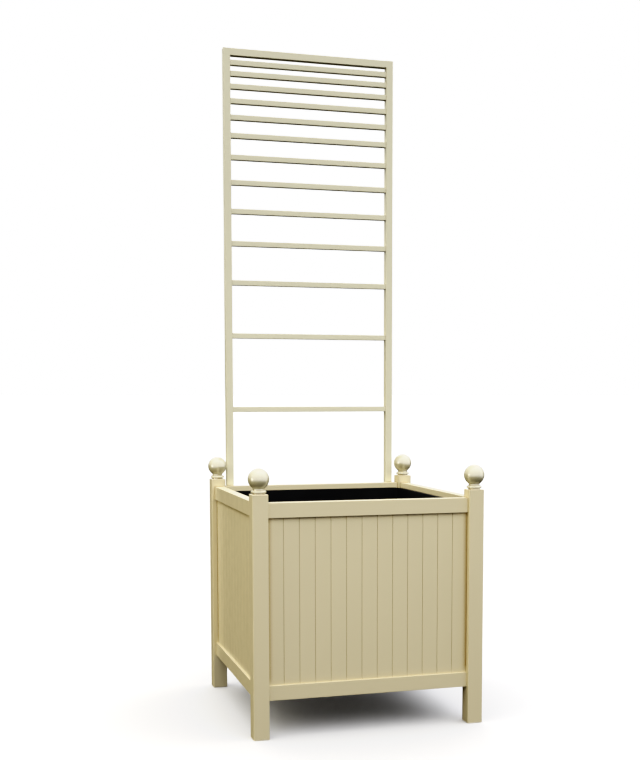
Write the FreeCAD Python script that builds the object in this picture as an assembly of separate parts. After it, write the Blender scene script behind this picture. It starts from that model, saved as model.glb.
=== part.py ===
import FreeCAD, Part
import os

# A square garden planter with a trellis at its back. Millimetres, +Z up, and -Y is
# the front. The origin is on the floor, in the middle of the whole footprint, which
# reaches a little further back than the box because the trellis stands behind it.

Vector = FreeCAD.Vector
UP = Vector(0, 0, 1)

# The box
BOX_SIZE = 600.0            # across the posts, the same each way
POST = 40.0                 # square tube, whose lower end is the leg
POST_WALL = 2.0
POST_CORNER = 2.0           # radius of the tube's upright edges
POST_TOP = 603.0            # top of the cap
CAP_PLATE = 3.0
CAP_ROUND = 1.2             # radius of the cap's upper edges
CAP_SKIRT = 12.0
FOOT_PLATE = 2.0
FOOT_SKIRT = 18.0
PLUG_GAP = 0.2              # between a skirt and the inside of its tube
SKIRT_WALL = 3.0

# The rails and the boards between them
RAIL_SETBACK = 9.0          # of the rail's outer face from the post's outer face
RAIL_DEPTH = 25.0
RAIL_HEIGHT = 37.0
RAIL_WALL = 1.6
TOP_RAIL_TOP = 582.0
BOTTOM_RAIL_TOP = 132.0
SLOT_DEPTH = 10.0           # the channel that holds the ends of the boards
SLOT_GAP = 0.2
BOARD_COUNT = 13
BOARD_SETBACK = 14.5        # of the boards' outer face from the post's outer face
BOARD_THICKNESS = 8.0
BOARD_GAP = 0.1
BOARD_CHAMFER = 1.2         # two of these make one groove on the outer face
TONGUE = 3.0
TONGUE_THICKNESS = 2.6
TONGUE_GAP = 0.15

# The blocks in the rail ends, and their screws
SPIGOT_LENGTH = 30.0
SPIGOT_GAP = 0.2
RAIL_SCREW_RADIUS = 2.5
RAIL_SCREW_HEAD = 4.0
RAIL_SCREW_LENGTH = 12.0
RAIL_SCREW_INSET = 15.0     # from the end of the rail
RAIL_SCREW_DROP = 4.7       # from the block's edge beside the slot
BORE_GAP = 0.05             # round each screw, bolt and stud

# The floor that carries the liner
BEARER = 25.0               # height of the angle's upright leg
BEARER_LEG = 20.0
BEARER_WALL = 2.0
BEARER_LENGTH = 470.0
BEARER_LIFT = 2.0           # above the lower edge of the bottom rail
BEARER_SCREW_SPACING = 200.0
BEARER_SCREW_LIFT = 19.0
SLAT_COUNT = 5
SLAT_WIDTH = 96.0
SLAT_SPACING = 104.0
SLAT_THICKNESS = 12.0
SLAT_WALL = 1.5
SLAT_LENGTH = 527.0
SMALL_SCREW_RADIUS = 2.0
SMALL_SCREW_HEAD = 4.0
SMALL_SCREW_HEAD_HEIGHT = 2.0
SMALL_SCREW_LENGTH = 10.0

# The liner, which lifts out
LINER_SIZE = 516.0
LINER_WALL = 3.0
LINER_CORNER = 12.0
LINER_TOP = 568.0
LINER_CLEARANCE = 0.3       # above the slats
RIM_REACH = 6.5
RIM_THICKNESS = 3.0
RIM_LENGTH = 488.0

# The finials, as radii and as heights above the post's cap
BALL_RADIUS = 26.2
BALL_HEIGHT = 36.6
NECK_RADIUS = 14.0
COLLAR_TOP = 9.9
COLLAR_RADIUS = 19.0
COLLAR_WIDEST = 5.6
COLLAR_FOOT_RADIUS = 14.8
COLLAR_FOOT_HEIGHT = 2.6
COLLAR_LIP = 2.0            # of the bead over its foot
COLLAR_BELLY = (18.5, 3.9)  # on the bead's lower curve
COLLAR_SHOULDER = (17.9, 8.3)
STUD_RADIUS = 4.0
STUD_ABOVE = 29.0
STUD_BELOW = 15.0
NUT_FLATS = 13.0
NUT_HEIGHT = 6.5
CAP_WEB = 4.0

# The trellis
STILE = 20.0                # square tube, for the stiles and the top rail
STILE_WALL = 1.5
TRELLIS_WIDTH = 500.0
TRELLIS_TOP = 1809.0
BAR_HEIGHT = 15.0
BAR_DEPTH = 15.0
BAR_WALL = 1.5
BAR_CORNER = 1.0
FIRST_BAR_DROP = 31.0       # from the top of the rail to the top of the first bar
BAR_STEPS = [30.0, 35.0, 40.0, 45.0, 50.0, 60.0, 70.0, 80.0, 90.0, 110.0, 150.0, 210.0]
BOLT_RADIUS = 3.0
BOLT_REACH = 17.0           # past the stile, into the block in the rail
BOLT_HEAD_RADIUS = 6.0
BOLT_HEAD_HEIGHT = 3.5
STILE_PLUG_PLATE = 2.0
STILE_PLUG_SKIRT = 8.0

# Places worked out from the sizes above
HALF_BOX = BOX_SIZE / 2
HALF_BAY = HALF_BOX - POST                     # from the middle to a post's inner face
POST_CENTRE = HALF_BOX - POST / 2
FRONT_REACH = POST_CENTRE + BALL_RADIUS        # the balls are wider than the posts
REAR_REACH = HALF_BOX - RAIL_SETBACK + STILE + BOLT_HEAD_HEIGHT
BOX_Y = (FRONT_REACH - REAR_REACH) / 2         # the middle of the box, along Y
BACK = BOX_Y + HALF_BOX
TRELLIS_FRONT = BACK - RAIL_SETBACK
TOP_RAIL_BOTTOM = TOP_RAIL_TOP - RAIL_HEIGHT
BOTTOM_RAIL_BOTTOM = BOTTOM_RAIL_TOP - RAIL_HEIGHT
RAIL_INNER = HALF_BOX - RAIL_SETBACK - RAIL_DEPTH
BEARER_BOTTOM = BOTTOM_RAIL_BOTTOM + BEARER_LIFT
SLAT_BOTTOM = BEARER_BOTTOM + BEARER_WALL
LINER_BOTTOM = SLAT_BOTTOM + SLAT_THICKNESS + LINER_CLEARANCE
STILE_BOTTOM = BOTTOM_RAIL_BOTTOM
SPIGOT_HEIGHT = RAIL_HEIGHT - 2 * RAIL_WALL - SLOT_DEPTH - 2 * SPIGOT_GAP

SIDES = {"front": 0, "right": 90, "back": 180, "left": 270}
CORNERS = {
    "front_left": (-1, -1),
    "front_right": (1, -1),
    "rear_left": (-1, 1),
    "rear_right": (1, 1),
}


def block(x0, x1, y0, y1, z0, z1):
    """A box between two corners."""
    return Part.makeBox(x1 - x0, y1 - y0, z1 - z0, Vector(x0, y0, z0))


def bar_block(x, y, width, depth, z0, z1, corner=0.0):
    """An upright box round an axis at (x, y), with rounded upright edges."""
    solid = block(x - width / 2, x + width / 2, y - depth / 2, y + depth / 2, z0, z1)
    if corner:
        upright = [e for e in solid.Edges if abs(e.Vertexes[0].Z - e.Vertexes[1].Z) > 1e-6]
        solid = solid.makeFillet(corner, upright)
    return solid


def disc(x, y, radius, z0, z1):
    """An upright cylinder."""
    return Part.makeCylinder(radius, z1 - z0, Vector(x, y, z0), UP)


def on_side(solid, angle):
    """Turn a front piece about the middle of the box to another side."""
    placed = solid.copy()
    placed.rotate(Vector(0, BOX_Y, 0), UP, angle)
    return placed


def one(solid):
    """A shape's only solid, with its faces joined up."""
    solids = solid.removeSplitter().Solids
    assert len(solids) == 1, len(solids)
    return solids[0]


def save(name, solids):
    """Write one node."""
    solids = solids if isinstance(solids, list) else [solids]
    for solid in solids:
        assert solid.isValid() and solid.Volume > 0, name
    shape = solids[0] if len(solids) == 1 else Part.makeCompound(solids)
    shape.exportStep(os.path.join("parts", name + ".step"))


def along_front(y_out):
    """Y of a place on the front side, from its distance behind the posts' outer faces."""
    return BOX_Y - HALF_BOX + y_out


# The posts, their caps, feet and finials

def post_at(x, y):
    outer = bar_block(x, y, POST, POST, FOOT_PLATE, POST_TOP - CAP_PLATE, POST_CORNER)
    hollow = POST - 2 * POST_WALL
    return one(outer.cut(bar_block(x, y, hollow, hollow, 0, POST_TOP)))


def skirt_at(x, y, size, z0, z1, web0, web1):
    """The sleeve of a cap or plug, closed by a web from web0 to web1."""
    sleeve = bar_block(x, y, size, size, z0, z1)
    room = size - 2 * SKIRT_WALL
    sleeve = sleeve.cut(bar_block(x, y, room, room, z0, z1))
    return sleeve.fuse(bar_block(x, y, size, size, web0, web1))


def cap_at(x, y):
    size = POST - 2 * POST_WALL - 2 * PLUG_GAP
    under = POST_TOP - CAP_PLATE
    plate = bar_block(x, y, POST, POST, under, POST_TOP, POST_CORNER)
    rim = [e for e in plate.Edges if all(abs(v.Z - POST_TOP) < 1e-6 for v in e.Vertexes)]
    plate = plate.makeFillet(CAP_ROUND, rim)
    skirt = skirt_at(x, y, size, under - CAP_SKIRT, under, under - CAP_WEB, under)
    bore = disc(x, y, STUD_RADIUS + BORE_GAP, under - CAP_SKIRT, POST_TOP)
    return one(plate.fuse(skirt).cut(bore))


def foot_at(x, y):
    size = POST - 2 * POST_WALL - 2 * PLUG_GAP
    plate = bar_block(x, y, POST, POST, 0, FOOT_PLATE, POST_CORNER)
    top = FOOT_PLATE + FOOT_SKIRT
    skirt = skirt_at(x, y, size, FOOT_PLATE, top, FOOT_PLATE, FOOT_PLATE + SKIRT_WALL)
    return one(plate.fuse(skirt))


def turned(x, y, edges):
    """A solid of revolution about an upright axis, from edges in the XZ plane."""
    face = Part.Face(Part.Wire(Part.__sortEdges__(edges)))
    solid = face.revolve(Vector(0, 0, 0), UP, 360)
    solid = Part.Solid(solid) if solid.ShapeType == "Shell" else solid
    solid = solid.copy()
    solid.translate(Vector(x, y, POST_TOP))
    return solid


def line(a, b):
    return Part.LineSegment(Vector(a[0], 0, a[1]), Vector(b[0], 0, b[1])).toShape()


def arc(a, through, b):
    points = [Vector(p[0], 0, p[1]) for p in (a, through, b)]
    return Part.Arc(*points).toShape()


def collar_at(x, y):
    """The ring between the cap and the ball: a foot, then a bead that closes to the neck."""
    bore = STUD_RADIUS + BORE_GAP
    foot = (COLLAR_FOOT_RADIUS, COLLAR_FOOT_HEIGHT)
    lip = (COLLAR_FOOT_RADIUS + COLLAR_LIP, COLLAR_FOOT_HEIGHT)
    widest = (COLLAR_RADIUS, COLLAR_WIDEST)
    top = (NECK_RADIUS, COLLAR_TOP)
    edges = [
        line((bore, 0), (COLLAR_FOOT_RADIUS, 0)),
        line((COLLAR_FOOT_RADIUS, 0), foot),
        line(foot, lip),
        arc(lip, COLLAR_BELLY, widest),
        arc(widest, COLLAR_SHOULDER, top),
        line(top, (bore, COLLAR_TOP)),
        line((bore, COLLAR_TOP), (bore, 0)),
    ]
    return turned(x, y, edges)


def ball_at(x, y):
    """The ball and the neck under it, drilled from below for the stud."""
    centre_z = POST_TOP + BALL_HEIGHT
    ball = Part.makeSphere(BALL_RADIUS, Vector(x, y, centre_z))
    neck = disc(x, y, NECK_RADIUS, POST_TOP + COLLAR_TOP, centre_z)
    drilled = disc(x, y, STUD_RADIUS + BORE_GAP, POST_TOP, POST_TOP + STUD_ABOVE + 1)
    return one(ball.fuse(neck).cut(drilled))


def nut_at(x, y):
    top = POST_TOP - CAP_PLATE - CAP_WEB
    corner = NUT_FLATS / 3 ** 0.5
    hexagon = Part.makePolygon([
        Vector(x + corner * c, y + corner * s, top - NUT_HEIGHT)
        for c, s in ((1, 0), (0.5, 0.866025), (-0.5, 0.866025), (-1, 0),
                     (-0.5, -0.866025), (0.5, -0.866025), (1, 0))
    ])
    nut = Part.Face(hexagon).extrude(Vector(0, 0, NUT_HEIGHT))
    return nut.cut(disc(x, y, STUD_RADIUS + BORE_GAP, top - NUT_HEIGHT, top)).Solids[0]


def stud_at(x, y):
    return disc(x, y, STUD_RADIUS, POST_TOP - STUD_BELOW, POST_TOP + STUD_ABOVE)


# The rails, each with a channel that faces the boards

def slot_faces():
    """Distances of the channel's two walls behind the posts' outer faces."""
    return BOARD_SETBACK - SLOT_GAP / 2, BOARD_SETBACK + BOARD_THICKNESS + SLOT_GAP / 2


def rail_blank(bottom, slot_up):
    """A front rail before its screw holes."""
    outer_y = along_front(RAIL_SETBACK)
    inner_y = outer_y + RAIL_DEPTH
    top = bottom + RAIL_HEIGHT
    near, far = [along_front(d) for d in slot_faces()]
    x0, x1 = -HALF_BAY, HALF_BAY
    slot = (top - SLOT_DEPTH, top) if slot_up else (bottom, bottom + SLOT_DEPTH)
    body = block(x0, x1, outer_y, inner_y, bottom, top)
    wall = RAIL_WALL
    room = block(x0, x1, outer_y + wall, inner_y - wall, bottom + wall, top - wall)
    channel = block(x0, x1, near - wall, far + wall, slot[0] - wall, slot[1] + wall)
    return body.cut(room.cut(channel)).cut(block(x0, x1, near, far, slot[0], slot[1]))


def spigot_heights(bottom, slot_up):
    """The block in a rail end fills the part of the rail that the channel leaves."""
    low = bottom + RAIL_WALL + SPIGOT_GAP
    if not slot_up:
        low += SLOT_DEPTH
    return low, low + SPIGOT_HEIGHT


def front_spigots(bottom, slot_up):
    low, high = spigot_heights(bottom, slot_up)
    gap = RAIL_WALL + SPIGOT_GAP
    y0 = along_front(RAIL_SETBACK + gap)
    y1 = along_front(RAIL_SETBACK + RAIL_DEPTH - gap)
    inner = HALF_BAY - SPIGOT_LENGTH
    return [block(-HALF_BAY, -inner, y0, y1, low, high), block(inner, HALF_BAY, y0, y1, low, high)]


def rail_screw(x, z, gap=0.0):
    """A countersunk screw that enters a front rail from its inner face."""
    face = along_front(RAIL_SETBACK + RAIL_DEPTH)
    outward = Vector(0, -1, 0)
    head_height = RAIL_SCREW_HEAD - RAIL_SCREW_RADIUS
    shank = Part.makeCylinder(
        RAIL_SCREW_RADIUS + gap, RAIL_SCREW_LENGTH + gap, Vector(x, face, z), outward)
    head = Part.makeCone(
        RAIL_SCREW_HEAD + gap, RAIL_SCREW_RADIUS + gap, head_height, Vector(x, face, z), outward)
    return one(shank.fuse(head))


def rail_screw_places(bottom, slot_up):
    low, high = spigot_heights(bottom, slot_up)
    z = high - RAIL_SCREW_DROP if slot_up else low + RAIL_SCREW_DROP
    x = HALF_BAY - RAIL_SCREW_INSET
    return [(-x, z), (x, z)]


def trellis_bolt(x, z, gap=0.0):
    """A round-headed bolt from behind a stile into the block in the rear rail."""
    face = TRELLIS_FRONT + STILE
    inward = Vector(0, -1, 0)
    shank = Part.makeCylinder(
        BOLT_RADIUS + gap, STILE + BOLT_REACH + gap, Vector(x, face, z), inward)
    if gap:
        return shank
    cut = block(x - 20, x + 20, face - 40, face, z - 20, z + 20)
    dome_radius = (BOLT_HEAD_RADIUS ** 2 + BOLT_HEAD_HEIGHT ** 2) / (2 * BOLT_HEAD_HEIGHT)
    centre = Vector(x, face + BOLT_HEAD_HEIGHT - dome_radius, z)
    head = Part.makeSphere(dome_radius, centre).cut(cut)
    return one(shank.fuse(head))


def bearer_screw(x, gap=0.0):
    """A screw that holds the front bearer to the inner face of its rail."""
    face = along_front(RAIL_SETBACK + RAIL_DEPTH) + BEARER_WALL
    z = BEARER_BOTTOM + BEARER_SCREW_LIFT
    shank = Part.makeCylinder(
        SMALL_SCREW_RADIUS + gap, SMALL_SCREW_LENGTH + gap, Vector(x, face, z), Vector(0, -1, 0))
    if gap:
        return shank
    head = Part.makeCylinder(
        SMALL_SCREW_HEAD, SMALL_SCREW_HEAD_HEIGHT, Vector(x, face, z), Vector(0, 1, 0))
    return one(shank.fuse(head))


def bearer_screw_places():
    return [-BEARER_SCREW_SPACING, 0.0, BEARER_SCREW_SPACING]


def bolt_places():
    """The bolts, at mid height of the blocks in the two rear rails."""
    x = TRELLIS_WIDTH / 2 - STILE / 2
    heights = []
    for bottom, slot_up in ((TOP_RAIL_BOTTOM, False), (BOTTOM_RAIL_BOTTOM, True)):
        low, high = spigot_heights(bottom, slot_up)
        heights.append((low + high) / 2)
    return [(side * x, z) for z in heights for side in (-1, 1)]


def make_rails():
    spigots = []
    screws = []
    bolt_holes = [trellis_bolt(x, z, BORE_GAP) for x, z in bolt_places()]
    levels = (("top", TOP_RAIL_BOTTOM, False), ("bottom", BOTTOM_RAIL_BOTTOM, True))
    for level, bottom, slot_up in levels:
        places = rail_screw_places(bottom, slot_up)
        holes = [rail_screw(x, z, BORE_GAP) for x, z in places]
        blank = rail_blank(bottom, slot_up).cut(holes)
        blocks = [spigot.cut(holes) for spigot in front_spigots(bottom, slot_up)]
        for side, angle in SIDES.items():
            front_piece = blank
            if level == "bottom" and side in ("front", "back"):
                front_piece = blank.cut([bearer_screw(x, BORE_GAP) for x in bearer_screw_places()])
            rail = on_side(front_piece, angle)
            side_blocks = [on_side(spigot, angle) for spigot in blocks]
            if side == "back":
                rail = rail.cut(bolt_holes)
                side_blocks = [spigot.cut(bolt_holes) for spigot in side_blocks]
            save(f"{level}_rail_{side}", one(rail))
            spigots += [one(spigot) for spigot in side_blocks]
            screws += [on_side(rail_screw(x, z), angle) for x, z in places]
    save("rail_spigots", spigots)
    save("rail_screws", screws)


# The boards: each has a tongue on one edge and a groove on the other

def board(index):
    width = 2 * HALF_BAY / BOARD_COUNT
    x0 = -HALF_BAY + index * width + BOARD_GAP / 2
    x1 = x0 + width - BOARD_GAP
    y0 = along_front(BOARD_SETBACK)
    y1 = y0 + BOARD_THICKNESS
    z0 = BOTTOM_RAIL_TOP - SLOT_DEPTH + SLOT_GAP
    z1 = TOP_RAIL_BOTTOM + SLOT_DEPTH - SLOT_GAP
    c = BOARD_CHAMFER
    outline = [(x0, y0 + c), (x0 + c, y0), (x1 - c, y0), (x1, y0 + c), (x1, y1), (x0, y1)]
    points = [Vector(x, y, z0) for x, y in outline + outline[:1]]
    piece = Part.Face(Part.makePolygon(points)).extrude(Vector(0, 0, z1 - z0))
    middle = (y0 + y1) / 2
    half = TONGUE_THICKNESS / 2
    if index < BOARD_COUNT - 1:
        piece = piece.fuse(block(x1, x1 + TONGUE, middle - half, middle + half, z0, z1))
    if index > 0:
        half += TONGUE_GAP
        reach = TONGUE + TONGUE_GAP
        piece = piece.cut(block(x0, x0 + reach, middle - half, middle + half, z0, z1))
    return one(piece)


def make_boards():
    boards = [board(index) for index in range(BOARD_COUNT)]
    for side, angle in SIDES.items():
        save(f"boards_{side}", [on_side(piece, angle) for piece in boards])


def make_posts():
    studs = []
    nuts = []
    for corner, (side_x, side_y) in CORNERS.items():
        x = side_x * POST_CENTRE
        y = BOX_Y + side_y * POST_CENTRE
        save(f"post_{corner}", post_at(x, y))
        save(f"post_cap_{corner}", cap_at(x, y))
        save(f"foot_{corner}", foot_at(x, y))
        save(f"finial_collar_{corner}", collar_at(x, y))
        save(f"finial_ball_{corner}", ball_at(x, y))
        studs.append(stud_at(x, y))
        nuts.append(nut_at(x, y))
    save("finial_studs", studs)
    save("finial_nuts", nuts)


# The floor: two angles on the front and back rails, with slats across them

def slat_places():
    middle = (SLAT_COUNT - 1) / 2
    return [(index - middle) * SLAT_SPACING for index in range(SLAT_COUNT)]


def floor_screw(x, y, gap=0.0):
    """A screw from below, through a bearer into a slat."""
    shank = disc(x, y, SMALL_SCREW_RADIUS + gap, BEARER_BOTTOM, BEARER_BOTTOM + SMALL_SCREW_LENGTH)
    if gap:
        return shank
    head = disc(x, y, SMALL_SCREW_HEAD, BEARER_BOTTOM - SMALL_SCREW_HEAD_HEIGHT, BEARER_BOTTOM)
    return one(shank.fuse(head))


def make_floor():
    face = along_front(RAIL_SETBACK + RAIL_DEPTH)
    half = BEARER_LENGTH / 2
    upright = block(-half, half, face, face + BEARER_WALL, BEARER_BOTTOM, BEARER_BOTTOM + BEARER)
    shelf = block(-half, half, face, face + BEARER_LEG, BEARER_BOTTOM, SLAT_BOTTOM)
    screw_y = face + BEARER_LEG / 2
    holes = [bearer_screw(x, BORE_GAP) for x in bearer_screw_places()]
    holes += [floor_screw(x, screw_y, BORE_GAP) for x in slat_places()]
    bearer = one(upright.fuse(shelf).cut(holes))
    bearer_screws = []
    floor_screws = []
    for side in ("front", "back"):
        angle = SIDES[side]
        save(f"floor_bearer_{side}", on_side(bearer, angle))
        bearer_screws += [on_side(bearer_screw(x), angle) for x in bearer_screw_places()]
        floor_screws += [on_side(floor_screw(x, screw_y), angle) for x in slat_places()]
    save("bearer_screws", bearer_screws)
    save("floor_screws", floor_screws)

    top = SLAT_BOTTOM + SLAT_THICKNESS
    reach = SLAT_LENGTH / 2
    rear_screw_y = 2 * BOX_Y - screw_y
    slats = []
    for x in slat_places():
        x0, x1 = x - SLAT_WIDTH / 2, x + SLAT_WIDTH / 2
        slat = block(x0, x1, BOX_Y - reach, BOX_Y + reach, SLAT_BOTTOM, top)
        wall = SLAT_WALL
        hollow = block(x0 + wall, x1 - wall, BOX_Y - reach, BOX_Y + reach,
                       SLAT_BOTTOM + wall, top - wall)
        ends = [floor_screw(x, y, BORE_GAP) for y in (screw_y, rear_screw_y)]
        slats.append(one(slat.cut([hollow] + ends)))
    save("floor_slats", slats)


def make_liner():
    """An open tub, with a lip along each side between the posts."""
    tub = bar_block(0, BOX_Y, LINER_SIZE, LINER_SIZE, LINER_BOTTOM, LINER_TOP, LINER_CORNER)
    reach = LINER_SIZE / 2 + RIM_REACH
    half = RIM_LENGTH / 2
    lip = block(-half, half, BOX_Y - reach, BOX_Y - LINER_SIZE / 2 + 1,
                LINER_TOP - RIM_THICKNESS, LINER_TOP)
    for angle in SIDES.values():
        tub = tub.fuse(on_side(lip, angle))
    room = LINER_SIZE - 2 * LINER_WALL
    corner = LINER_CORNER - LINER_WALL
    floor_z = LINER_BOTTOM + LINER_WALL
    save("liner", one(tub.cut(bar_block(0, BOX_Y, room, room, floor_z, LINER_TOP, corner))))


# The trellis

def stile_tube(x, bolts):
    """One upright of the trellis, with its bolt holes."""
    y = TRELLIS_FRONT + STILE / 2
    outer = bar_block(x, y, STILE, STILE, STILE_BOTTOM, TRELLIS_TOP, BAR_CORNER)
    room = STILE - 2 * STILE_WALL
    hollow = bar_block(x, y, room, room, STILE_BOTTOM, TRELLIS_TOP - STILE_WALL)
    return one(outer.cut([hollow] + bolts))


def cross_tube(y0, depth, z0, height, wall):
    """A level tube between the stiles."""
    half = TRELLIS_WIDTH / 2 - STILE
    body = block(-half, half, y0, y0 + depth, z0, z0 + height)
    long_edges = [e for e in body.Edges if abs(e.Vertexes[0].X - e.Vertexes[1].X) > 1e-6]
    body = body.makeFillet(BAR_CORNER, long_edges)
    room = block(-half, half, y0 + wall, y0 + depth - wall, z0 + wall, z0 + height - wall)
    return one(body.cut(room))


def bar_tops():
    """Heights of the tops of the bars, from the top one down."""
    tops = [TRELLIS_TOP - FIRST_BAR_DROP]
    for step in BAR_STEPS:
        tops.append(tops[-1] - step)
    return tops


def make_trellis():
    x = TRELLIS_WIDTH / 2 - STILE / 2
    bolts = [trellis_bolt(bx, bz, BORE_GAP) for bx, bz in bolt_places()]
    save("trellis_stile_left", stile_tube(-x, bolts))
    save("trellis_stile_right", stile_tube(x, bolts))
    save("trellis_top_rail",
         cross_tube(TRELLIS_FRONT, STILE, TRELLIS_TOP - STILE, STILE, STILE_WALL))
    bar_y = TRELLIS_FRONT + (STILE - BAR_DEPTH) / 2
    for number, top in enumerate(bar_tops(), start=1):
        bar = cross_tube(bar_y, BAR_DEPTH, top - BAR_HEIGHT, BAR_HEIGHT, BAR_WALL)
        save(f"trellis_bar_{number:02d}", bar)
    save("trellis_bolts", [trellis_bolt(bx, bz) for bx, bz in bolt_places()])

    y = TRELLIS_FRONT + STILE / 2
    size = STILE - 2 * STILE_WALL - 2 * PLUG_GAP
    plugs = []
    for side in (-1, 1):
        under = STILE_BOTTOM - STILE_PLUG_PLATE
        plate = bar_block(side * x, y, STILE, STILE, under, STILE_BOTTOM, BAR_CORNER)
        skirt = bar_block(side * x, y, size, size, STILE_BOTTOM, STILE_BOTTOM + STILE_PLUG_SKIRT)
        plugs.append(one(plate.fuse(skirt)))
    save("trellis_stile_plugs", plugs)


os.makedirs("parts", exist_ok=True)
make_posts()
make_rails()
make_boards()
make_floor()
make_liner()
make_trellis()
print("bar tops:", [round(z, 1) for z in bar_tops()])
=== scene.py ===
"""A cream painted garden planter with a ladder trellis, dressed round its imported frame.

The frame gives every place and size: each piece below reads the box of the node that it
stands for, and only adds rounded edges, fine details and finishes.
"""

import math

import bmesh
import bpy
from mathutils import Matrix, Vector


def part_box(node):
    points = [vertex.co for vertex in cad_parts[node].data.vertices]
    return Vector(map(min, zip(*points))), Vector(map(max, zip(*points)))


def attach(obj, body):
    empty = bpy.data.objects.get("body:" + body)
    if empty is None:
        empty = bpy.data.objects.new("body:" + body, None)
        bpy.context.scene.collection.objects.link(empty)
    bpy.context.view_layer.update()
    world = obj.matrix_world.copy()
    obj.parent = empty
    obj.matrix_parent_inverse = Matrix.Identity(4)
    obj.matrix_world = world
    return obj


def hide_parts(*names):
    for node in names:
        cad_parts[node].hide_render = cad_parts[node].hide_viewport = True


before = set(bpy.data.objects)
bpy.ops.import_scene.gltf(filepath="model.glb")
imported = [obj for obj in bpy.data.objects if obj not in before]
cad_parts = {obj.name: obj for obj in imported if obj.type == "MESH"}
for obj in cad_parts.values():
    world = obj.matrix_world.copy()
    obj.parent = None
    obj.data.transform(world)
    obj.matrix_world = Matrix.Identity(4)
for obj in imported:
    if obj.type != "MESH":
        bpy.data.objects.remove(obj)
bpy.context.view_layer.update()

MM = 0.001
UP = Vector((0, 0, 1))
SIDES = ("front", "right", "back", "left")
CORNERS = ("front_left", "front_right", "rear_left", "rear_right")
PLANTER = "planter"
LINER = "liner"


# Materials

CREAM = (0.775, 0.69, 0.465)
# A darker copy of the cream: painted shade low on the posts, rails and boards.
LOW_SHADED_CREAM = (0.675, 0.595, 0.395)
# A darker copy of the cream for the finials: painted shade on the balls and rings.
FINIAL_SHADED_CREAM = (0.63, 0.58, 0.385)
# A paler copy of the cream for the trellis: painted light.
TRELLIS_LIT_CREAM = (0.815, 0.78, 0.59)
# Painted shade: the warm brown that darkens corners, joints and the boards under the rails.
CREVICE_SHADE_CREAM = (0.36, 0.24, 0.07)
# Painted shade on the faces that look down.
UNDERSIDE_SHADE = (0.10, 0.08, 0.045)
# Painted shade on the faces that look up.
TOP_FACE_SHADE = (0.42, 0.39, 0.29)
LOW_SHADE_TOP = 0.55               # painted shade: the paint darkens from here down to the floor
SILL = (0.133, 0.150)           # no painted crevice shade on the joints below the boards' lower ends
PEEL_RELIEF = 0.05 * MM
GRAIN_RELIEF = 0.06 * MM
DRAWN_RELIEF = 0.04 * MM


def start_material(name):
    """A new material with its nodes, links and shader."""
    material = bpy.data.materials.new(name)
    material.use_nodes = True
    tree = material.node_tree
    return material, tree.nodes, tree.links, tree.nodes["Principled BSDF"]


def object_coordinates(nodes, links, stretch=(1, 1, 1)):
    """The piece's own coordinates, in metres, stretched where a grain runs one way."""
    coordinates = nodes.new("ShaderNodeTexCoord")
    mapping = nodes.new("ShaderNodeMapping")
    mapping.inputs["Scale"].default_value = stretch
    links.new(coordinates.outputs["Object"], mapping.inputs["Vector"])
    return mapping.outputs["Vector"]


def noise(nodes, links, vector, scale, detail):
    """Soft, even clouds from about 0.3 to 0.7."""
    texture = nodes.new("ShaderNodeTexNoise")
    texture.inputs["Scale"].default_value = scale
    texture.inputs["Detail"].default_value = detail
    texture.inputs["Roughness"].default_value = 0.5
    links.new(vector, texture.inputs["Vector"])
    return texture.outputs["Fac"]


def remap(nodes, links, value, from_low, from_high, to_low, to_high):
    """Stretch one range of values over another, and hold them at its ends."""
    scaled = nodes.new("ShaderNodeMapRange")
    for name, number in (
        ("From Min", from_low),
        ("From Max", from_high),
        ("To Min", to_low),
        ("To Max", to_high),
    ):
        scaled.inputs[name].default_value = number
    links.new(value, scaled.inputs["Value"])
    return scaled.outputs["Result"]


def multiply(nodes, links, first, second):
    product = nodes.new("ShaderNodeMath")
    product.operation = "MULTIPLY"
    links.new(first, product.inputs[0])
    links.new(second, product.inputs[1])
    return product.outputs[0]


def blend_colours(nodes, links, factor, first, second):
    """Mix two colours; either may be a socket or a plain colour."""
    mix = nodes.new("ShaderNodeMix")
    mix.data_type = "RGBA"
    links.new(factor, mix.inputs["Factor"])
    for socket, colour in ((mix.inputs["A"], first), (mix.inputs["B"], second)):
        if isinstance(colour, bpy.types.NodeSocket):
            links.new(colour, socket)
        else:
            socket.default_value = (*colour, 1)
    return mix.outputs["Result"]


def bump(nodes, links, height, distance, strength):
    """A fine relief on the surface, as normals for the shader."""
    node = nodes.new("ShaderNodeBump")
    node.inputs["Distance"].default_value = distance
    node.inputs["Strength"].default_value = strength
    links.new(height, node.inputs["Height"])
    return node.outputs["Normal"]


def crevices(nodes, links, reach):
    """One in the open, and less in corners and joints."""
    occlusion = nodes.new("ShaderNodeAmbientOcclusion")
    occlusion.inputs["Distance"].default_value = reach
    occlusion.samples = 8
    return occlusion.outputs["AO"]


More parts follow.
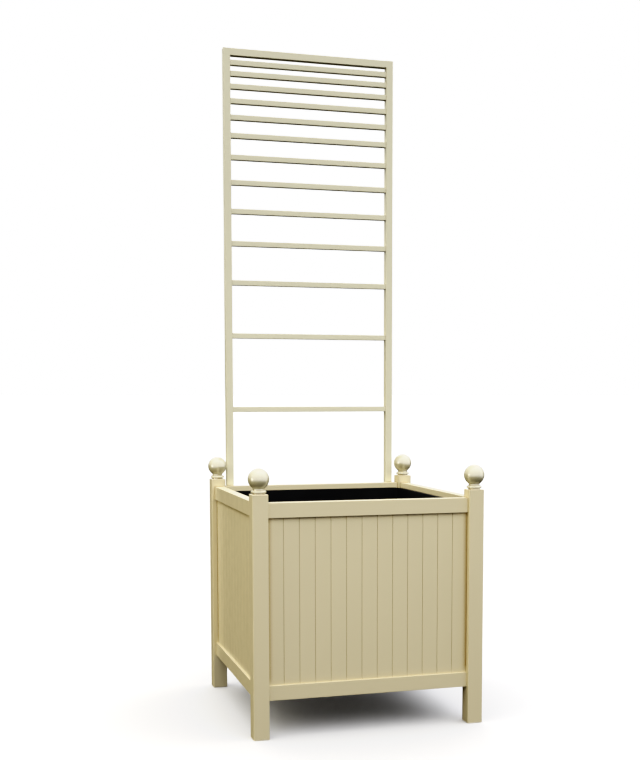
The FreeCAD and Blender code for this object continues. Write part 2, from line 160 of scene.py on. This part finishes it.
def powder_coat(name, tone, low_shade_tone, crevice_shade_tone, roughness, coat=0.0, reach=0.002,
                under=0.0, over=0.0):
    """Satin powder coat: faint clouding and an orange-peel skin, with painted shade towards
    the floor and in the joints and corners. The faces that look down or up may be darkened
    with painted shade, as far as under and over say."""
    material, nodes, links, shader = start_material(name)
    place = object_coordinates(nodes, links)
    clouds = noise(nodes, links, place, 5.0, 3.0)
    cloud_mix = remap(nodes, links, clouds, 0.3, 0.7, 0.0, 1.0)
    paler = [min(1.0, channel * 1.035) for channel in tone]
    clouded = blend_colours(nodes, links, cloud_mix, tone, paler)
    # Painted shade: the colour darkens towards the floor, below a set height.
    height = nodes.new("ShaderNodeSeparateXYZ")
    links.new(place, height.inputs["Vector"])
    low_shade = remap(nodes, links, height.outputs["Z"], 0.0, LOW_SHADE_TOP, 1.0, 0.0)
    low_shaded = blend_colours(nodes, links, low_shade, clouded, low_shade_tone)
    # Painted shade in corners and joints: ambient occlusion turns the colour towards a warm
    # brown, but not below the sill.
    opened = crevices(nodes, links, reach)
    above_sill = remap(nodes, links, height.outputs["Z"], *SILL, 0.0, 1.0)
    crevice_shade = multiply(
        nodes, links, remap(nodes, links, opened, 0.48, 0.96, 0.95, 0.0), above_sill
    )
    crevice_shaded = blend_colours(nodes, links, crevice_shade, low_shaded, crevice_shade_tone)
    facing = nodes.new("ShaderNodeSeparateXYZ")
    links.new(nodes.new("ShaderNodeNewGeometry").outputs["Normal"], facing.inputs["Vector"])
    # Painted shade: faces that look down turn towards a near black.
    shaded_beneath = remap(nodes, links, facing.outputs["Z"], -0.95, -0.6, under, 0.0)
    underside_shaded = blend_colours(nodes, links, shaded_beneath, crevice_shaded, UNDERSIDE_SHADE)
    # Painted shade: faces that look up turn towards a darker grey brown.
    shaded_on_top = remap(nodes, links, facing.outputs["Z"], 0.6, 0.95, 0.0, over)
    links.new(
        blend_colours(nodes, links, shaded_on_top, underside_shaded, TOP_FACE_SHADE),
        shader.inputs["Base Color"],
    )
    satin = noise(nodes, links, place, 38.0, 2.0)
    links.new(
        remap(nodes, links, satin, 0.3, 0.7, roughness - 0.04, roughness + 0.05),
        shader.inputs["Roughness"],
    )
    peel = noise(nodes, links, place, 900.0, 2.0)
    links.new(bump(nodes, links, peel, PEEL_RELIEF, 0.5), shader.inputs["Normal"])
    shader.inputs["Specular IOR Level"].default_value = 0.25
    shader.inputs["Coat Weight"].default_value = coat
    shader.inputs["Coat Roughness"].default_value = 0.04
    shader.inputs["Coat IOR"].default_value = 2.0
    return material


def moulded_plastic(name, tone, roughness, shine=0.5):
    """Moulded plastic: a fine grain and a slight, dusty haze."""
    material, nodes, links, shader = start_material(name)
    place = object_coordinates(nodes, links)
    haze = noise(nodes, links, place, 9.0, 4.0)
    dusty = [channel * 2.2 for channel in tone]
    hazy = remap(nodes, links, haze, 0.45, 0.8, 0.0, 0.7)
    links.new(
        blend_colours(nodes, links, hazy, tone, dusty), shader.inputs["Base Color"]
    )
    links.new(
        remap(nodes, links, haze, 0.3, 0.7, roughness - 0.06, roughness + 0.1),
        shader.inputs["Roughness"],
    )
    grain = noise(nodes, links, place, 1400.0, 1.0)
    links.new(bump(nodes, links, grain, GRAIN_RELIEF, 0.6), shader.inputs["Normal"])
    shader.inputs["Specular IOR Level"].default_value = shine
    return material


def drawn_metal(name, tone, roughness, stretch):
    """Bare metal with the fine lines that drawing or turning leaves along it."""
    material, nodes, links, shader = start_material(name)
    lines = noise(nodes, links, object_coordinates(nodes, links, stretch), 60.0, 3.0)
    darker = [channel * 0.82 for channel in tone]
    links.new(
        blend_colours(nodes, links, lines, darker, tone), shader.inputs["Base Color"]
    )
    links.new(
        remap(nodes, links, lines, 0.3, 0.7, roughness - 0.08, roughness + 0.08),
        shader.inputs["Roughness"],
    )
    links.new(bump(nodes, links, lines, DRAWN_RELIEF, 0.5), shader.inputs["Normal"])
    shader.inputs["Metallic"].default_value = 1.0
    return material


paint = powder_coat("cream_powder_coat", CREAM, LOW_SHADED_CREAM, CREVICE_SHADE_CREAM, 0.2)
# The boards' painted shade reaches further, to darken them under the rails and beside the
# posts.
board_paint = powder_coat(
    "cream_boards_coat", CREAM, LOW_SHADED_CREAM, CREVICE_SHADE_CREAM, 0.22, reach=0.014
)
finial_paint = powder_coat(
    "cream_gloss_finial", FINIAL_SHADED_CREAM, FINIAL_SHADED_CREAM, CREVICE_SHADE_CREAM, 0.3, coat=1.0
)
# The trellis gets painted shade on its faces that look down and on those that look up.
trellis_paint = powder_coat(
    "cream_trellis_coat", TRELLIS_LIT_CREAM, TRELLIS_LIT_CREAM, CREVICE_SHADE_CREAM, 0.22,
    under=0.8, over=0.8,
)
liner_plastic = moulded_plastic("black_liner_plastic", (0.011, 0.011, 0.012), 0.5, 0.08)
plug_plastic = moulded_plastic("cream_plug_plastic", (0.55, 0.50, 0.38), 0.6)
mill_aluminium = drawn_metal("mill_aluminium", (0.62, 0.62, 0.63), 0.42, (40, 0.6, 40))
stainless = drawn_metal("stainless_fasteners", (0.55, 0.55, 0.56), 0.3, (30, 30, 3))


# Modelling helpers

def boxed(bm, low, high):
    """Add a box between two corners and return its vertices."""
    made = bmesh.ops.create_cube(bm, size=1.0)["verts"]
    low, high = Vector(low), Vector(high)
    bmesh.ops.scale(bm, vec=high - low, verts=made)
    bmesh.ops.translate(bm, vec=(low + high) / 2, verts=made)
    return made


def round_edges(bm, edges, radius, segments):
    """Round some edges of a mesh over."""
    return bmesh.ops.bevel(
        bm,
        geom=list(edges),
        offset=radius,
        offset_type="OFFSET",
        affect="EDGES",
        segments=segments,
        profile=0.5,
        material=-1,
        clamp_overlap=True,
    )


def edges_along(edges, axis):
    """The straight edges that run along one axis: 0, 1 or 2."""
    others = [number for number in range(3) if number != axis]
    found = []
    for edge in edges:
        run = edge.verts[1].co - edge.verts[0].co
        if abs(run[axis]) > 1e-5 and all(abs(run[other]) < 1e-6 for other in others):
            found.append(edge)
    return found


def piece(bm, name, material, body, stands_for=(), bevel=0.0, segments=2):
    """Finish a mesh as a piece that rides on a body and stands for its nodes."""
    bmesh.ops.recalc_face_normals(bm, faces=bm.faces)
    for face in bm.faces:
        face.smooth = True
    mesh = bpy.data.meshes.new(name)
    bm.to_mesh(mesh)
    bm.free()
    mesh.materials.append(material)
    made = bpy.data.objects.new(name, mesh)
    bpy.context.scene.collection.objects.link(made)
    if bevel:
        rounded = made.modifiers.new("rounded_edges", "BEVEL")
        rounded.width = bevel
        rounded.segments = segments
        rounded.limit_method = "ANGLE"
        rounded.angle_limit = math.radians(40)
    flats = made.modifiers.new("flat_faces", "WEIGHTED_NORMAL")
    flats.keep_sharp = True
    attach(made, body)
    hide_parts(*stands_for)
    return made


def turned(points_and_arcs, centre, steps=64):
    """A solid of revolution about an upright axis. Each entry after the first is the next
    point (radius, height), or a pair of points: an arc through one to the other."""
    bm = bmesh.new()
    radius, height = points_and_arcs[0]
    last = bm.verts.new((radius, 0, height))
    for entry in points_and_arcs[1:]:
        if isinstance(entry[0], tuple):
            last = arc_to(bm, last, *entry)
        else:
            vertex = bm.verts.new((entry[0], 0, entry[1]))
            bm.edges.new((last, vertex))
            last = vertex
    bmesh.ops.spin(
        bm,
        geom=bm.verts[:] + bm.edges[:],
        cent=(0, 0, 0),
        axis=UP,
        angle=math.tau,
        steps=steps,
        use_merge=True,
    )
    bmesh.ops.remove_doubles(bm, verts=bm.verts, dist=1e-6)
    bmesh.ops.translate(bm, vec=centre, verts=bm.verts)
    return bm


def arc_to(bm, start, through, end, steps=14):
    """Sweep a vertex along the arc through one (radius, height) point to another."""
    a = Vector((start.co.x, start.co.z))
    b, c = Vector(through), Vector(end)
    double_area = 2 * (a.x * (b.y - c.y) + b.x * (c.y - a.y) + c.x * (a.y - b.y))
    squares = (a.length_squared, b.length_squared, c.length_squared)
    cx = (squares[0] * (b.y - c.y) + squares[1] * (c.y - a.y) + squares[2] * (a.y - b.y))
    cy = (squares[0] * (c.x - b.x) + squares[1] * (a.x - c.x) + squares[2] * (b.x - a.x))
    centre = Vector((cx, cy)) / double_area
    first = math.atan2(a.y - centre.y, a.x - centre.x)
    middle = (math.atan2(b.y - centre.y, b.x - centre.x) - first) % math.tau
    sweep = (math.atan2(c.y - centre.y, c.x - centre.x) - first) % math.tau
    if middle > sweep:
        sweep -= math.tau
    swept = bmesh.ops.spin(
        bm,
        geom=[start],
        cent=(centre.x, 0, centre.y),
        axis=(0, -1, 0),
        angle=sweep,
        steps=steps,
        use_merge=False,
    )
    return [item for item in swept["geom_last"] if isinstance(item, bmesh.types.BMVert)][0]


def sharpen(made, degrees=40):
    """Keep the edges of a turned piece crisp where its profile turns a corner."""
    bm = bmesh.new()
    bm.from_mesh(made.data)
    for edge in bm.edges:
        if len(edge.link_faces) == 2 and edge.calc_face_angle(0) > math.radians(degrees):
            edge.smooth = False
    bm.to_mesh(made.data)
    bm.free()


# The box: posts, caps, feet, rails and boards

POST_CORNER = 2.4 * MM
CAP_EDGE = 1.5 * MM
RAIL_EDGE = 0.7 * MM
BOARD_GROOVE = 1.2 * MM
BOARD_GAP = 0.1 * MM
BOARDS_PER_SIDE = 13
FOOT_RIM = 5 * MM
FOOT_RECESS = 1 * MM


def square_block(node, corner, segments=5):
    """The node's box, with its upright edges rounded."""
    bm = bmesh.new()
    boxed(bm, *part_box(node))
    round_edges(bm, edges_along(bm.edges, 2), corner, segments)
    return bm


def make_posts():
    for corner in CORNERS:
        node = f"post_{corner}"
        bm = square_block(node, POST_CORNER)
        piece(bm, f"painted_post.{corner}", paint, PLANTER, [node], 0.3 * MM)
        make_cap(corner)
        make_foot(corner)


def make_cap(corner):
    """The cap's plate, with its top edge rounded over."""
    node = f"post_cap_{corner}"
    low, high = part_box(node)
    post_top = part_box(f"post_{corner}")[1].z
    bm = bmesh.new()
    boxed(bm, (low.x, low.y, post_top), high)
    round_edges(bm, edges_along(bm.edges, 2), POST_CORNER, 5)
    top_edges = [e for e in bm.edges if all(abs(v.co.z - high.z) < 1e-6 for v in e.verts)]
    round_edges(bm, top_edges, CAP_EDGE, 4)
    piece(bm, f"post_top.{corner}", paint, PLANTER, [node], 0.25 * MM)


def make_foot(corner):
    """The foot's plate, which shows as a thin line under the post."""
    node = f"foot_{corner}"
    low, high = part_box(node)
    post_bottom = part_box(f"post_{corner}")[0].z
    bm = bmesh.new()
    boxed(bm, low, (high.x, high.y, post_bottom))
    round_edges(bm, edges_along(bm.edges, 2), POST_CORNER, 5)
    bottom = [f for f in bm.faces if f.normal.z < -0.5]
    bmesh.ops.inset_region(bm, faces=bottom, thickness=FOOT_RIM, use_even_offset=True)
    bmesh.ops.translate(
        bm, vec=(0, 0, FOOT_RECESS), verts=list({v for f in bottom for v in f.verts})
    )
    piece(bm, f"foot_plate.{corner}", plug_plastic, PLANTER, [node])


def length_axis(side):
    """The axis that a side of the box runs along."""
    return 0 if side in ("front", "back") else 1


def make_rails():
    for level in ("top", "bottom"):
        for side in SIDES:
            node = f"{level}_rail_{side}"
            bm = bmesh.new()
            boxed(bm, *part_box(node))
            round_edges(bm, edges_along(bm.edges, length_axis(side)), RAIL_EDGE, 4)
            piece(bm, f"painted_rail.{level}_{side}", paint, PLANTER,
                  [node], 0.2 * MM)


def outward(side):
    """The direction that a side of the box faces."""
    return {
        "front": Vector((0, -1, 0)),
        "right": Vector((1, 0, 0)),
        "back": Vector((0, 1, 0)),
        "left": Vector((-1, 0, 0)),
    }[side]


def make_boards():
    """A panel of upright boards in each side, with a groove at each joint's outer face."""
    for side in SIDES:
        node = f"boards_{side}"
        low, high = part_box(node)
        along = length_axis(side)
        width = (high[along] - low[along] + BOARD_GAP) / BOARDS_PER_SIDE
        bm = bmesh.new()
        for index in range(BOARDS_PER_SIDE):
            board_low, board_high = low.copy(), high.copy()
            board_low[along] = low[along] + index * width
            board_high[along] = board_low[along] + width - BOARD_GAP
            made = boxed(bm, board_low, board_high)
            face_at = max(v.co.dot(outward(side)) for v in made)
            outer = {e for v in made for e in v.link_edges
                     if all(face_at - w.co.dot(outward(side)) < 1e-6 for w in e.verts)}
            round_edges(bm, edges_along(outer, 2), BOARD_GROOVE, 3)
        piece(bm, f"tongued_boards.{side}", board_paint, PLANTER,
              [node], 0.15 * MM)


# The finials

STUD_BORE = 4.05 * MM
NECK = 14.0 * MM


def make_finials():
    """A ringed collar on each cap, and the ball on its neck above it."""
    for corner in CORNERS:
        low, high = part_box(f"finial_collar_{corner}")
        centre = Vector(((low.x + high.x) / 2, (low.y + high.y) / 2, low.z))
        collar = turned(
            [
                (STUD_BORE, 0.0),
                (14.8 * MM, 0.0),
                (14.8 * MM, 2.6 * MM),
                (16.8 * MM, 2.8 * MM),
                ((18.5 * MM, 3.9 * MM), (19 * MM, 5.6 * MM)),
                ((17.9 * MM, 8.3 * MM), (14.0 * MM, 9.9 * MM)),
                (STUD_BORE, 9.9 * MM),
                (STUD_BORE, 0.0),
            ],
            centre,
        )
        made = piece(collar, f"finial_ring.{corner}", finial_paint, PLANTER,
                     [f"finial_collar_{corner}"])
        sharpen(made)

        ball_low, ball_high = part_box(f"finial_ball_{corner}")
        radius = (ball_high.x - ball_low.x) / 2
        middle = ball_high.z - radius - centre.z
        join = middle - math.sqrt(radius ** 2 - NECK ** 2)
        base = ball_low.z - centre.z
        ball = turned(
            [
                (STUD_BORE, base),
                (NECK, base),
                (NECK, join - 1.2 * MM),
                ((NECK + 0.35 * MM, join - 0.2 * MM), (NECK + 1.3 * MM, join + 0.75 * MM)),
                ((radius, middle), (0.0, middle + radius)),
            ],
            centre,
        )
        made = piece(ball, f"finial_ball_and_neck.{corner}", finial_paint, PLANTER,
                     [f"finial_ball_{corner}"])
        sharpen(made)


# The trellis

STILE_CORNER = 1.4 * MM
BAR_COUNT = 13
BAR_EDGE = 1.2 * MM
WELD_RINGS = (2.2 * MM, 1.0 * MM, 0.4 * MM)
WELD_SWELL = 1.1 * MM


def make_trellis():
    """The two uprights, the bars, and the head rail, which runs into the uprights' rounded
    corners so that no seam shows."""
    for side in ("left", "right"):
        node = f"trellis_stile_{side}"
        bm = square_block(node, STILE_CORNER, 4)
        piece(bm, f"trellis_upright.{side}", trellis_paint, PLANTER,
              [node], 0.5 * MM)
    rail_low, rail_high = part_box("trellis_top_rail")
    weld = Vector((STILE_CORNER, 0, 0))
    bm = bmesh.new()
    boxed(bm, rail_low - weld, rail_high + weld)
    round_edges(bm, edges_along(bm.edges, 0), STILE_CORNER, 4)
    piece(bm, "trellis_head_rail", trellis_paint, PLANTER,
          ["trellis_top_rail"])
    for number in range(1, BAR_COUNT + 1):
        make_bar(number)


def make_bar(number):
    """A trellis bar, swelling into its welds where it meets the uprights."""
    node = f"trellis_bar_{number:02d}"
    low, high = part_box(node)
    centre = (low + high) / 2
    bm = bmesh.new()
    boxed(bm, low, high)
    round_edges(bm, edges_along(bm.edges, 0), BAR_EDGE, 3)
    for inset in WELD_RINGS:
        for x in (low.x + inset, high.x - inset):
            bmesh.ops.bisect_plane(bm, geom=bm.verts[:] + bm.edges[:] + bm.faces[:],
                                   plane_co=(x, 0, 0), plane_no=(1, 0, 0))
    for vertex in bm.verts:
        from_end = min(vertex.co.x - low.x, high.x - vertex.co.x)
        swell = WELD_SWELL * max(0.0, 1 - from_end / WELD_RINGS[0]) ** 2
        out = Vector((0, vertex.co.y - centre.y, vertex.co.z - centre.z))
        vertex.co += out.normalized() * swell
    piece(bm, f"trellis_rung.{number:02d}", trellis_paint, PLANTER, [node])


BOLT_SHANK = 3.0 * MM
SOCKET = 2.3 * MM
SOCKET_DEPTH = 1.6 * MM


def make_bolts():
    """The round-headed bolts at the foot of the trellis, each with a hexagon socket."""
    low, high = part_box("trellis_bolts")
    stile_low, stile_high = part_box("trellis_stile_right")
    stile_x = (stile_low.x + stile_high.x) / 2
    face = stile_high.y
    head, rise, length = high.x - stile_x, high.y - face, face - low.y
    bolt = turned(
        [
            (0.0, -length),
            (BOLT_SHANK - 0.6 * MM, -length),
            (BOLT_SHANK, -length + 0.6 * MM),
            (BOLT_SHANK, 0.0),
            (head, 0.0),
            ((head * 0.8, rise * 0.62), (SOCKET + 0.5 * MM, rise)),
            (SOCKET, rise - 0.1 * MM),
            (SOCKET, rise - SOCKET_DEPTH),
            (0.0, rise - SOCKET_DEPTH - 0.4 * MM),
        ],
        (0, 0, 0),
        48,
    )
    sixth = math.radians(60)
    for vertex in bolt.verts:
        radius = math.hypot(vertex.co.x, vertex.co.y)
        if vertex.co.z > 0 and abs(radius - SOCKET) < 0.01 * MM:
            turn = math.atan2(vertex.co.y, vertex.co.x) % sixth - sixth / 2
            flat = math.cos(sixth / 2) / math.cos(turn)
            vertex.co.x *= flat
            vertex.co.y *= flat
    bmesh.ops.rotate(bolt, cent=(0, 0, 0), matrix=Matrix.Rotation(-math.pi / 2, 3, "X"),
                     verts=bolt.verts)
    first = bolt.verts[:] + bolt.edges[:] + bolt.faces[:]
    for x in (-stile_x, stile_x):
        for z in (low.z + head, high.z - head):
            copied = bmesh.ops.duplicate(bolt, geom=first)["geom"]
            bmesh.ops.translate(bolt, vec=(x, face, z), verts=[
                item for item in copied if isinstance(item, bmesh.types.BMVert)])
    bmesh.ops.delete(bolt, geom=[v for v in first if isinstance(v, bmesh.types.BMVert)],
                     context="VERTS")
    made = piece(bolt, "trellis_socket_bolts", stainless, PLANTER, ["trellis_bolts"])
    sharpen(made, 35)


# The liner

LIP = 6.5 * MM
LIP_THICKNESS = 3 * MM
LINER_WALL = 3 * MM
LINER_CORNER = 12 * MM
LEAST_STRIP_AREA = 400 * MM * 2 * MM


def make_liner():
    """A moulded tub with rounded corners and a lip along each side."""
    low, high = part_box("liner")
    bm = bmesh.new()
    boxed(bm, (low.x + LIP, low.y + LIP, low.z), (high.x - LIP, high.y - LIP, high.z))
    round_edges(bm, edges_along(bm.edges, 2), LINER_CORNER, 6)
    bmesh.ops.delete(bm, geom=[f for f in bm.faces if f.normal.z > 0.5], context="FACES_ONLY")
    bmesh.ops.bisect_plane(bm, geom=bm.verts[:] + bm.edges[:] + bm.faces[:],
                           plane_co=(0, 0, high.z - LIP_THICKNESS), plane_no=(0, 0, 1))
    bmesh.ops.solidify(bm, geom=bm.faces[:], thickness=LINER_WALL)
    bm.normal_update()
    reach = max(v.co.x for v in bm.verts)
    middle_y = (low.y + high.y) / 2
    strips = []
    for face in bm.faces:
        at = face.calc_center_median()
        on_rim = at.z > high.z - LIP_THICKNESS
        long_enough = face.calc_area() > LEAST_STRIP_AREA
        upright = abs(face.normal.z) < 0.1
        outermost = max(abs(at.x), abs(at.y - middle_y)) > reach - 1 * MM
        if on_rim and long_enough and upright and outermost:
            strips.append(face)
    for strip in strips:
        out = strip.normal.copy()
        made = bmesh.ops.extrude_face_region(bm, geom=[strip])["geom"]
        bmesh.ops.translate(bm, vec=out * LIP,
                            verts=[g for g in made if isinstance(g, bmesh.types.BMVert)])
        bmesh.ops.delete(bm, geom=[strip], context="FACES_ONLY")
    piece(bm, "moulded_liner", liner_plastic, LINER, ["liner"], 0.8 * MM, 3)


def finish_nodes():
    """Give the pieces that stay as the frame has them their finishes."""
    finishes = {
        "rail_spigots": mill_aluminium,
        "floor_bearer_front": mill_aluminium,
        "floor_bearer_back": mill_aluminium,
        "floor_slats": mill_aluminium,
        "finial_studs": stainless,
        "finial_nuts": stainless,
        "rail_screws": stainless,
        "bearer_screws": stainless,
        "floor_screws": stainless,
        "trellis_stile_plugs": plug_plastic,
    }
    for node, material in finishes.items():
        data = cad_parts[node].data
        data.materials.clear()
        data.materials.append(material)


# The studio: floor, light and camera

# Directions run from -1 to 1 along each axis of the dome.
SKY_LOW = 0.05
SKY_BAND = 2.93
SKY_RISE = (0.25, 0.55)
SKY_ZENITH = 0.6
SKY_CROWN = (0.8, 1.0)
SKY_LEFT = 0.83
SKY_RIGHT = 1.05
SKY_LEFT_TINT = (1.0, 0.94, 0.74)
SKY_LEFT_REACH = (-1.0, -0.1)
SKY_BELOW = (0.015, 0.012, 0.008)
HORIZON = (-0.02, 0.01)
GLOSS_SKY = (2.5, 2.5, 2.5)
GLOSS_FADE = (-0.45, -0.05)
GLOSS_FRONT = (-0.1, 0.35)
REAR_GLOSS = 0.8
REAR_RISE = (0.02, 0.12)
WHITE = (1.0, 1.0, 1.0)
BACKDROP = 1.3
FLOOR_TONES = ((0.735, 0.735, 0.76), (0.75, 0.75, 0.775))
FLOOR_RADIUS = 900.0
WHITE_POINT = 1.3
PRINT_TONES = (
    (0.03, 0.008),
    (0.07, 0.038),
    (0.13, 0.098),
    (0.2, 0.178),
    (0.32, 0.318),
    (0.6, 0.6),
    (0.8, 0.775),
    (0.95, 0.87),
    (1.15, 0.93),
)


def make_floor():
    """A pale floor, which doesn't light the object or show in it."""
    bm = bmesh.new()
    bmesh.ops.create_circle(bm, cap_ends=True, radius=FLOOR_RADIUS, segments=96)
    mesh = bpy.data.meshes.new("studio_floor")
    bm.to_mesh(mesh)
    bm.free()
    floor = bpy.data.objects.new("studio_floor", mesh)
    bpy.context.scene.collection.objects.link(floor)
    material, nodes, links, shader = start_material("pale_floor")
    place = object_coordinates(nodes, links)
    mottle = remap(nodes, links, noise(nodes, links, place, 1.5, 4.0), 0.3, 0.7, 0.0, 1.0)
    links.new(
        blend_colours(nodes, links, mottle, *FLOOR_TONES),
        shader.inputs["Base Color"],
    )
    shader.inputs["Roughness"].default_value = 0.9
    mesh.materials.append(material)
    floor.visible_diffuse = False
    floor.visible_glossy = False


def area_light(name, place, target, size, power, tint, spread):
    """A softbox of a width and a height, turned to face a point."""
    data = bpy.data.lights.new(name, "AREA")
    data.shape = "RECTANGLE"
    data.size, data.size_y = size
    data.energy = power
    data.color = tint
    data.spread = math.radians(spread)
    light = bpy.data.objects.new(name, data)
    light.location = place
    aim = Vector(target) - Vector(place)
    light.rotation_mode = "QUATERNION"
    light.rotation_quaternion = aim.to_track_quat("-Z", "Y")
    light.visible_camera = False
    bpy.context.scene.collection.objects.link(light)


def make_sky():
    """The studio's surroundings. What lights the object is a soft dome: bright above, less
    so at its crown, a little warmer on the left and dark below. What its gloss reflects is
    even and white in front, and a mix of the dome and plain white behind. The backdrop,
    which only the camera sees, is plain white."""
    world = bpy.data.worlds.new("studio_dome")
    world.use_nodes = True
    nodes, links = world.node_tree.nodes, world.node_tree.links
    direction = nodes.new("ShaderNodeTexCoord")
    parts = nodes.new("ShaderNodeSeparateXYZ")
    links.new(direction.outputs["Generated"], parts.inputs["Vector"])
    across, along, height = parts.outputs
    rising = remap(nodes, links, height, *SKY_RISE, SKY_LOW, SKY_BAND)
    fading = remap(nodes, links, height, *SKY_CROWN, 1.0, SKY_ZENITH)
    rise = multiply(nodes, links, rising, fading)
    side = remap(nodes, links, across, -1.0, 1.0, SKY_LEFT, SKY_RIGHT)
    brightness = multiply(nodes, links, rise, side)
    warmth = remap(nodes, links, across, *SKY_LEFT_REACH, 1.0, 0.0)
    tint = blend_colours(nodes, links, warmth, WHITE, SKY_LEFT_TINT)
    above = nodes.new("ShaderNodeVectorMath")
    above.operation = "SCALE"
    links.new(tint, above.inputs[0])
    links.new(brightness, above.inputs["Scale"])
    over = remap(nodes, links, height, *HORIZON, 0.0, 1.0)
    lit = blend_colours(nodes, links, over, SKY_BELOW, above.outputs[0])
    rays = nodes.new("ShaderNodeLightPath")
    over_floor = remap(nodes, links, height, *GLOSS_FADE, 0.0, 1.0)
    in_front = remap(nodes, links, along, *GLOSS_FRONT, 1.0, 0.0)
    white = multiply(nodes, links, over_floor, in_front)
    behind = remap(nodes, links, height, *REAR_RISE, 0.0, REAR_GLOSS)
    paler = blend_colours(nodes, links, behind, lit, WHITE)
    mirrored = blend_colours(nodes, links, white, paler, GLOSS_SKY)
    seen = blend_colours(nodes, links, rays.outputs["Is Glossy Ray"], lit, mirrored)
    links.new(
        blend_colours(nodes, links, rays.outputs["Is Camera Ray"], seen, (BACKDROP,) * 3),
        nodes["Background"].inputs["Color"],
    )
    bpy.context.scene.world = world


def make_light():
    """The dome, and a warm softbox low on the left."""
    make_sky()
    area_light(
        "left_softbox",
        place=(-4.2, -0.7, 0.55),
        target=(0, 0, 0.45),
        size=(1.1, 1.1),
        power=1.35,
        tint=(1.0, 0.89, 0.58),
        spread=36,
    )


def make_camera():
    """The photograph's view: focal length and centre are in its pixels."""
    wide, high = 640.0, 760.0
    focal_pixels = 1191.9
    centre_across, centre_down = 350.6, 501.0
    sensor = 36.0
    box_low, box_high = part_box("post_front_left")[0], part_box("post_rear_right")[1]
    box_middle_y = (box_low.y + box_high.y) / 2
    data = bpy.data.cameras.new("photo_camera")
    data.sensor_width = sensor
    data.lens = focal_pixels * sensor / high
    data.shift_x = (wide / 2 - centre_across) / high
    data.shift_y = (centre_down - high / 2) / high
    data.clip_end = 4000.0
    camera = bpy.data.objects.new("photo_camera", data)
    left_of_middle, in_front, above_floor = 0.88196, 3.09407, 0.84177
    camera.location = (-left_of_middle, box_middle_y - in_front, above_floor)
    yaw, pitch = 0.28809, -0.08867
    forward = Vector(
        (math.sin(yaw) * math.cos(pitch), math.cos(yaw) * math.cos(pitch), math.sin(pitch))
    )
    right = Vector((math.cos(yaw), -math.sin(yaw), 0))
    upward = right.cross(forward)
    turn = Matrix((right, upward, -forward)).transposed()
    camera.rotation_mode = "QUATERNION"
    camera.rotation_quaternion = turn.to_quaternion()
    bpy.context.scene.collection.objects.link(camera)
    bpy.context.scene.camera = camera


def develop():
    """The tones of a print: soft in the highlights, and a little deeper in the darks."""
    view = bpy.context.scene.view_settings
    view.view_transform = "Standard"
    view.use_curve_mapping = True
    tones = view.curve_mapping
    tones.white_level = (WHITE_POINT,) * 3
    curve = tones.curves[3]
    for light, shown in PRINT_TONES:
        curve.points.new(light / WHITE_POINT, shown)
    tones.update()


make_posts()
make_rails()
make_boards()
make_finials()
make_trellis()
make_bolts()
make_liner()
finish_nodes()
make_floor()
make_light()
make_camera()
develop()
